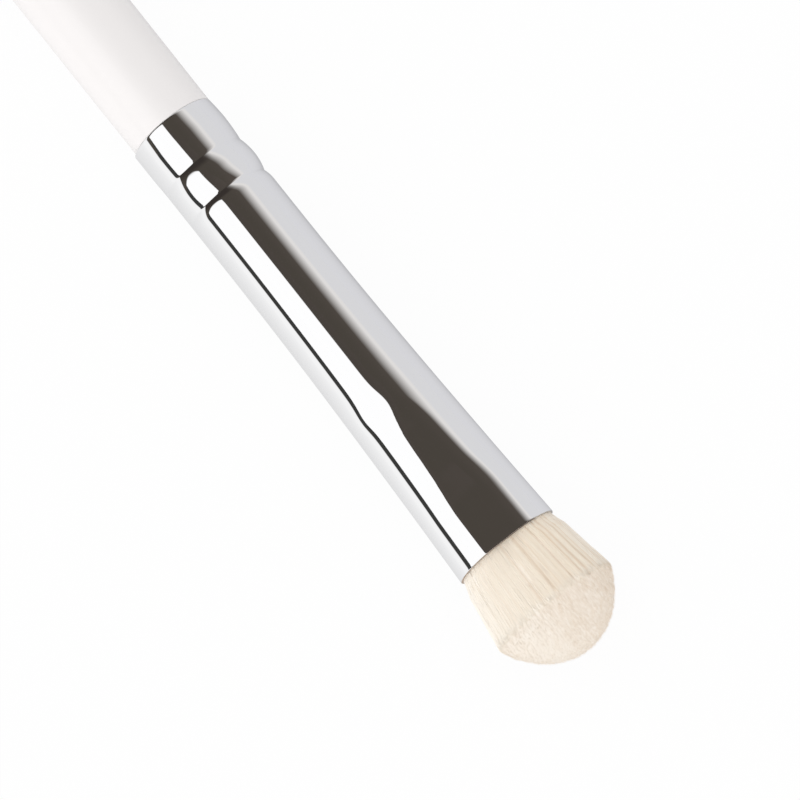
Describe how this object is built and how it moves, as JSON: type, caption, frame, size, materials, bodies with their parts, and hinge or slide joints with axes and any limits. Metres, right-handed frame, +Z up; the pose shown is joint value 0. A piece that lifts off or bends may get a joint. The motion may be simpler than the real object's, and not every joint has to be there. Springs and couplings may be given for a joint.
{
  "type": "eye makeup brush",
  "caption": "Slim eye makeup brush: round lacquered handle, plated ferrule with rolled crimps pressed to an oval mouth, and a dense domed tuft of soft hair.",
  "frame": {"origin": "middle of the brush's overall length and width, at the height of its lowest point as it lies on its side", "axes": "+X along the brush from the handle's end to the hair's tip, +Y along the broad side of the flattened mouth, +Z up through its thin side"},
  "size_m": [0.1752, 0.011, 0.0079],
  "materials": {
    "handle_lacquer": "turned wood under a glossy white lacquer",
    "ferrule_plating": "bright polished plating",
    "hair": "soft cream-white hair, matt",
    "thread": "plain cotton thread",
    "resin": "cured clear resin",
    "adhesive": "cured adhesive"
  },
  "bodies": {
    "root": {"handle": "handle_lacquer", "ferrule": "ferrule_plating", "hair_tuft": "hair", "binding_thread": "thread", "resin_plug": "resin", "tenon_glue": "adhesive"}
  },
  "joints": []
}
